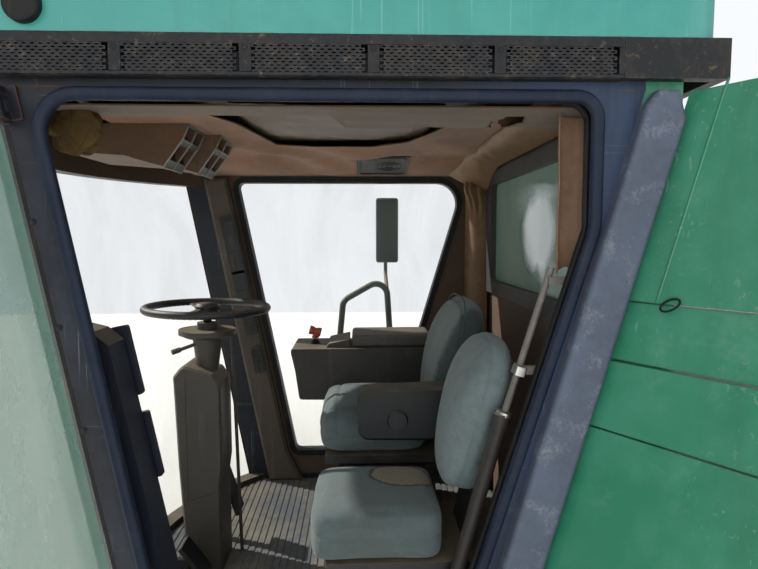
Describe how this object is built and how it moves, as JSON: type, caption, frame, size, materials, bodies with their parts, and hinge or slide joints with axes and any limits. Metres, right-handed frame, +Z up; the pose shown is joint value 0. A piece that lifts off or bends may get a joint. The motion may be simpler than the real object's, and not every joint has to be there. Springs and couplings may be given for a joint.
{
  "type": "combine harvester cab",
  "caption": "Glazed operator's cab for a combine harvester, with a side door on a slanted hinge line, a steering wheel, two seats and a roof with air grilles.",
  "frame": {"origin": "centre of the four mounts, on the face that they bolt to", "axes": "+Z up, -Y to the front of the machine, +X to its left side, where the door is"},
  "size_m": [3.1747, 2.1225, 1.937],
  "materials": {
    "roof_paint": "faded semi-gloss",
    "body_paint": "weathered gloss",
    "post_paint": "dusty satin",
    "frame_paint": "satin",
    "band_paint": "dusty satin",
    "strip_plastic": "weathered",
    "seal_rubber": "matt",
    "gasket_rubber": "matt",
    "window_glass": "dusty",
    "door_tint": "dusty green",
    "trim_vinyl": "soft",
    "liner_fabric": "worn, sagging",
    "overhead_plastic": "dusty",
    "display_plastic": "satin",
    "seat_fabric": "worn tweed",
    "armrest_vinyl": "soft grained",
    "base_paint": "satin",
    "console_plastic": "dusty",
    "pad_vinyl": "soft grained",
    "lever_plastic": "worn",
    "column_plastic": "dusty",
    "wheel_plastic": "worn",
    "pedal_rubber": "matt",
    "mat_rubber": "dusty",
    "bright_steel": "satin",
    "rail_paint": "gloss",
    "mirror_housing": "satin",
    "lamp_lens": "clear",
    "mount_rubber": "matt",
    "speaker_plastic": "satin"
  },
  "bodies": {
    "cab": {"cab_mounts": "mount_rubber", "floor_rails": "frame_paint", "cross_beams": "frame_paint", "floor_pan": "frame_paint", "floor_mat": "mat_rubber", "front_apron": "post_paint", "sills": "post_paint", "front_post_left": "post_paint", "front_post_right": "post_paint", "rear_post_left": "post_paint", "quarter_panel_left": "body_paint", "roof_rails": "post_paint", "front_header": "post_paint", "rear_wall": "body_paint", "right_side": "post_paint", "right_gasket": "gasket_rubber", "right_glass": "window_glass", "corner_strips": "strip_plastic", "flank_panels": "body_paint", "windshield": "window_glass", "windshield_bond": "gasket_rubber", "door_seal": "seal_rubber", "rear_window_frame": "trim_vinyl", "rear_glass": "window_glass", "hinge_brackets": "post_paint", "jamb_rod": "bright_steel", "roof_shell": "roof_paint", "roof_tray": "frame_paint", "roof_grilles": "band_paint", "roof_bands": "band_paint", "work_lamps": "lamp_lens", "side_lamps": "band_paint", "headliner": "liner_fabric", "overhead_console": "overhead_plastic", "speaker_grille": "speaker_plastic", "corner_post_cover": "trim_vinyl", "display_modules": "display_plastic", "duct_post": "console_plastic", "duct_vents": "display_plastic", "steering_pedestal": "column_plastic", "steering_head": "wheel_plastic", "pedals": "pedal_rubber", "seat_cushion": "seat_fabric", "seat_back": "seat_fabric", "seat_base": "base_paint", "armrest": "armrest_vinyl", "guest_cushion": "seat_fabric", "guest_back": "seat_fabric", "guest_base": "base_paint", "console": "console_plastic", "console_pad": "pad_vinyl", "drive_lever": "lever_plastic", "corner_trims": "trim_vinyl", "right_mirror": "mirror_housing", "right_rail": "rail_paint"},
    "door": {"door_glass": "door_tint", "hinge_straps": "post_paint", "door_handle": "frame_paint", "door_pull": "frame_paint"},
    "steering_wheel": {"steering_wheel": "wheel_plastic"}
  },
  "joints": [
    {"name": "door_hinge", "type": "hinge", "parent": "cab", "child": "door", "pos_m": [0.784, -0.36976, 0.33], "axis": [0, -0.1867, 0.9824], "range_deg": [0, 100]},
    {"name": "steering_turn", "type": "hinge", "parent": "cab", "child": "steering_wheel", "pos_m": [0, -0.418, 1.084], "axis": [0, 0.0175, 0.9998], "continuous": true}
  ]
}
